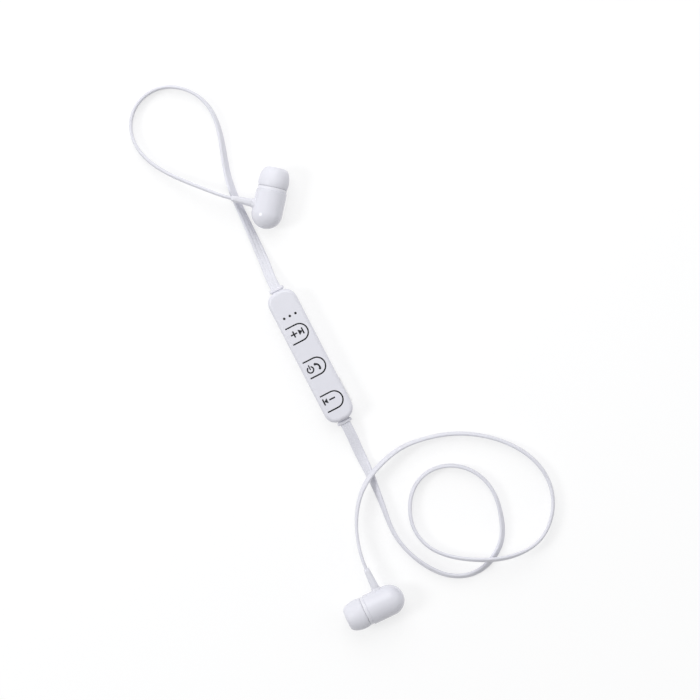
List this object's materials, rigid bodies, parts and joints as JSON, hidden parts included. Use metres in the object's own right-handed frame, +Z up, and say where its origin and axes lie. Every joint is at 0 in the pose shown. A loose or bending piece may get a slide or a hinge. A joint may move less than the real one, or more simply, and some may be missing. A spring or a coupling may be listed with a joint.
{
  "type": "in-ear earphones with control pod",
  "caption": "In-ear earphones joined by flat leads to a slim control pod with three press tongues and a covered charging port.",
  "frame": {"origin": "middle of the control pod's flat underside, on the surface that the earphones lie on", "axes": "+Z up; +Y along the pod towards the end with the three small holes and the right earbud; +X to the charging port's side"},
  "size_m": [0.0934, 0.2231, 0.0118],
  "materials": {
    "white_plastic": "satin gloss",
    "white_rubber": "satin",
    "white_cable": "satin",
    "silicone": "matt, slightly translucent",
    "black_plastic": "matt",
    "circuit_board": "solder mask, gloss",
    "ceramic": "matt",
    "steel": "plated",
    "magnet": "nickel plated",
    "battery_foil": "foil",
    "foam": "matt",
    "membrane": "thin film"
  },
  "bodies": {
    "housing": {"pod_top_cover": "white_plastic", "pod_bottom_cover": "white_plastic", "volume_up_switch": "steel", "call_switch": "steel", "volume_down_switch": "steel", "circuit_board": "circuit_board", "bluetooth_chip": "black_plastic", "charging_chip": "black_plastic", "crystal": "steel", "chip_antenna": "ceramic", "status_led": "ceramic", "microphone": "steel", "microphone_gasket": "foam", "usb_shell": "steel", "usb_tongue": "black_plastic", "port_cover_anchor": "white_rubber", "battery_cell": "battery_foil", "battery_protection_board": "circuit_board", "battery_tabs": "steel", "foam_tape": "foam", "upper_collar": "white_rubber", "lower_collar": "white_rubber", "short_cord": "white_cable", "long_cord": "white_cable", "right_rear_shell": "white_plastic", "right_front_cap": "white_plastic", "right_nozzle_mesh": "steel", "right_strain_relief": "white_rubber", "right_driver_yoke": "steel", "right_magnet": "magnet", "right_pole_plate": "steel", "right_driver_frame": "black_plastic", "right_front_ring": "black_plastic", "right_damping_paper": "foam", "left_rear_shell": "white_plastic", "left_front_cap": "white_plastic", "left_nozzle_mesh": "steel", "left_strain_relief": "white_rubber", "left_driver_yoke": "steel", "left_magnet": "magnet", "left_pole_plate": "steel", "left_driver_frame": "black_plastic", "left_front_ring": "black_plastic", "left_damping_paper": "foam"},
    "volume_up_button_body": {"volume_up_button": "white_plastic"},
    "call_button_body": {"call_button": "white_plastic"},
    "volume_down_button_body": {"volume_down_button": "white_plastic"},
    "volume_up_plunger_body": {"volume_up_plunger": "black_plastic"},
    "call_plunger_body": {"call_plunger": "black_plastic"},
    "volume_down_plunger_body": {"volume_down_plunger": "black_plastic"},
    "port_cover_body": {"port_cover": "white_rubber"},
    "right_ear_tip_body": {"right_ear_tip": "silicone"},
    "right_diaphragm_body": {"right_diaphragm": "membrane"},
    "left_ear_tip_body": {"left_ear_tip": "silicone"},
    "left_diaphragm_body": {"left_diaphragm": "membrane"}
  },
  "joints": [
    {"name": "volume_up_press", "type": "hinge", "parent": "housing", "child": "volume_up_button_body", "pos_m": [-0.00395, 0.0098, 0.0073], "axis": [0, 1, 0], "range_deg": [0, 2.5], "stiffness_Nm_per_rad": 0.05},
    {"name": "volume_up_plunger_travel", "type": "slide", "parent": "housing", "child": "volume_up_plunger_body", "axis": [0, 0, -1], "range_m": [0, 0.0002]},
    {"name": "call_press", "type": "hinge", "parent": "housing", "child": "call_button_body", "pos_m": [-0.00395, -0.0046, 0.0073], "axis": [0, 1, 0], "range_deg": [0, 2.5], "stiffness_Nm_per_rad": 0.05},
    {"name": "call_plunger_travel", "type": "slide", "parent": "housing", "child": "call_plunger_body", "axis": [0, 0, -1], "range_m": [0, 0.0002]},
    {"name": "volume_down_press", "type": "hinge", "parent": "housing", "child": "volume_down_button_body", "pos_m": [-0.00395, -0.019, 0.0073], "axis": [0, 1, 0], "range_deg": [0, 2.5], "stiffness_Nm_per_rad": 0.05},
    {"name": "volume_down_plunger_travel", "type": "slide", "parent": "housing", "child": "volume_down_plunger_body", "axis": [0, 0, -1], "range_m": [0, 0.0002]},
    {"name": "port_cover_hinge", "type": "hinge", "parent": "housing", "child": "port_cover_body", "pos_m": [0.00615, -0.0134, 0.0028], "axis": [0, 0, 1], "range_deg": [0, 110]},
    {"name": "right_tip_pull", "type": "slide", "parent": "housing", "child": "right_ear_tip_body", "axis": [0.6361, 0.7716, 0], "range_m": [0, 0.012]},
    {"name": "right_diaphragm_stroke", "type": "slide", "parent": "housing", "child": "right_diaphragm_body", "axis": [0.6361, 0.7716, 0], "range_m": [-0.00015, 0.00015], "stiffness_N_per_m": 100},
    {"name": "left_tip_pull", "type": "slide", "parent": "housing", "child": "left_ear_tip_body", "axis": [-0.9994, 0.0349, 0], "range_m": [0, 0.012]},
    {"name": "left_diaphragm_stroke", "type": "slide", "parent": "housing", "child": "left_diaphragm_body", "axis": [-0.9994, 0.0349, 0], "range_m": [-0.00015, 0.00015], "stiffness_N_per_m": 100}
  ],
  "couplings": [
    {"joint": "volume_up_plunger_travel", "follows": "volume_up_press", "m_per_rad": 0.0044},
    {"joint": "call_plunger_travel", "follows": "call_press", "m_per_rad": 0.0044},
    {"joint": "volume_down_plunger_travel", "follows": "volume_down_press", "m_per_rad": 0.0044}
  ]
}
